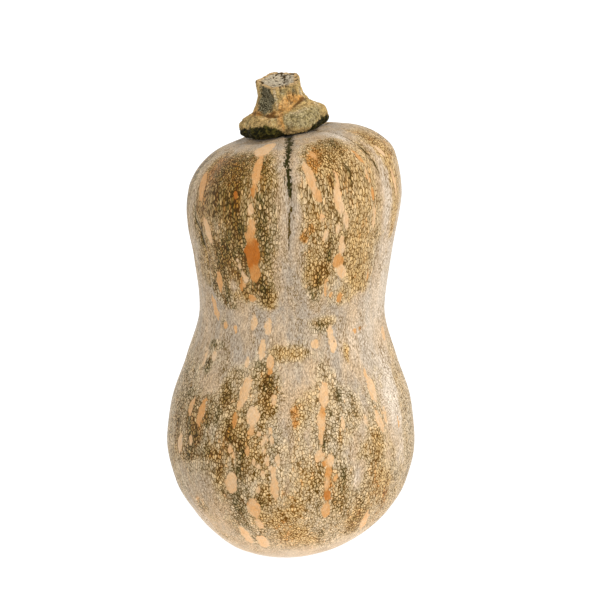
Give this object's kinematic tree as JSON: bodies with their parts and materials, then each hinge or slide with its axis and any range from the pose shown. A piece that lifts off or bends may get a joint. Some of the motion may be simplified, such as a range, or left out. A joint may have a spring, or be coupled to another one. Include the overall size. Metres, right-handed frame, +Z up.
{
  "type": "pumpkin",
  "caption": "Whole ripe pumpkin of the long, waisted kind: a broad bulb, a waist and a ribbed neck, with its corky cut stem, standing on its flat blossom end.",
  "frame": {"origin": "on the surface that the fruit stands on, under the middle of the part's box", "axes": "+Z up along the fruit from its blossom end to its stem, -Y the front, with a rib groove in its middle, +X to the right of the front"},
  "size_m": [0.1406, 0.1388, 0.2702],
  "materials": {
    "rind": "matt waxy rind with pale bloom, a fine tan and green-brown net, and peach to orange streaks",
    "dry_stem": "dry corky stem, tan and olive with dark green hollows and a pitted grey cut"
  },
  "bodies": {
    "root": {"fruit": "rind", "stem": "dry_stem"}
  },
  "joints": []
}
